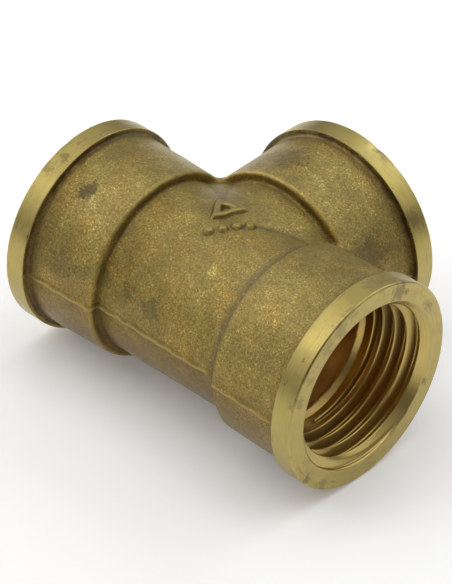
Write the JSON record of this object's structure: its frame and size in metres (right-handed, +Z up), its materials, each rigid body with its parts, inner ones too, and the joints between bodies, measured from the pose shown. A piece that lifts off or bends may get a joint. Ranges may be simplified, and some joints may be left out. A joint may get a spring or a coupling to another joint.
{
  "type": "pipe tee fitting",
  "caption": "Brass pipe tee: a straight run with an equal branch at right angles, with tapped parallel threads in every port, turned rims and a sand-textured cast body.",
  "frame": {"origin": "where the run axis and the branch axis cross, in the plane of the three ports", "axes": "+X along the run to the right port, +Y out of the branch, +Z up, square to the plane of the ports; the tee lies on its three rims"},
  "size_m": [0.0448, 0.0351, 0.026],
  "materials": {
    "cast_brass": "as cast, sand textured, tarnished olive brown",
    "turned_brass": "turned bright, fine tool lines, lightly tarnished",
    "tapped_brass": "drilled and tapped, semi bright"
  },
  "bodies": {
    "root": {"centre_body": "cast_brass", "run_socket_left": "cast_brass", "run_socket_right": "cast_brass", "branch_socket": "cast_brass", "parting_seam": "cast_brass", "casting_mark": "cast_brass", "run_rim_left": "turned_brass", "run_rim_right": "turned_brass", "branch_rim": "turned_brass", "run_thread_left": "tapped_brass", "run_thread_right": "tapped_brass", "branch_thread": "tapped_brass"}
  },
  "joints": []
}
